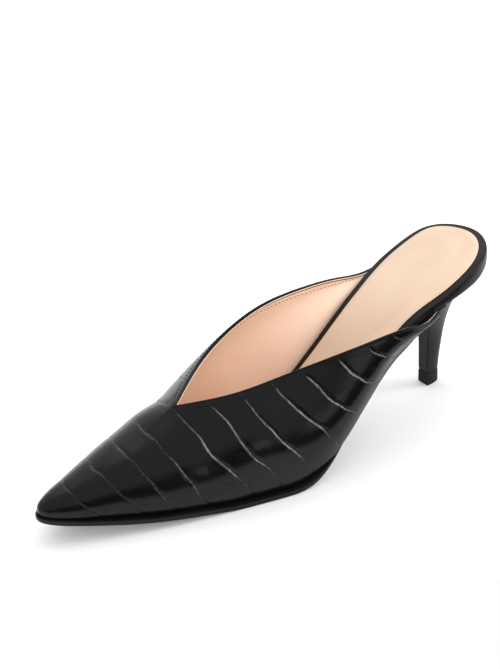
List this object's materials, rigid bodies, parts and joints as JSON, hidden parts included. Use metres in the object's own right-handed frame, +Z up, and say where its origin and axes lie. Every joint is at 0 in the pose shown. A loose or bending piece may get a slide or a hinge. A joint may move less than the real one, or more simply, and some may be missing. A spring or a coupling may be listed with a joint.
{
  "type": "high heel shoe",
  "caption": "Backless pointed high heel shoe for the left foot, with a deep throat, a nude lining and a slim covered heel.",
  "frame": {"origin": "on the floor plane, in the middle of the sole's flat spot under the ball of the foot", "axes": "+X forward along the shoe to the toe, +Y to the outer (lateral) side of the left foot, +Z up from the floor"},
  "size_m": [0.2395, 0.0742, 0.0772],
  "materials": {
    "upper": "gloss, crocodile embossed",
    "sock_lining": "smooth satin",
    "insole_board": "satin wrap",
    "outsole": "satin",
    "heel": "satin wrap",
    "heel_tip": "matte"
  },
  "bodies": {
    "root": {"upper": "upper", "sock_lining": "sock_lining", "insole_board": "insole_board", "outsole": "outsole", "heel": "heel", "heel_tip": "heel_tip"}
  },
  "joints": []
}
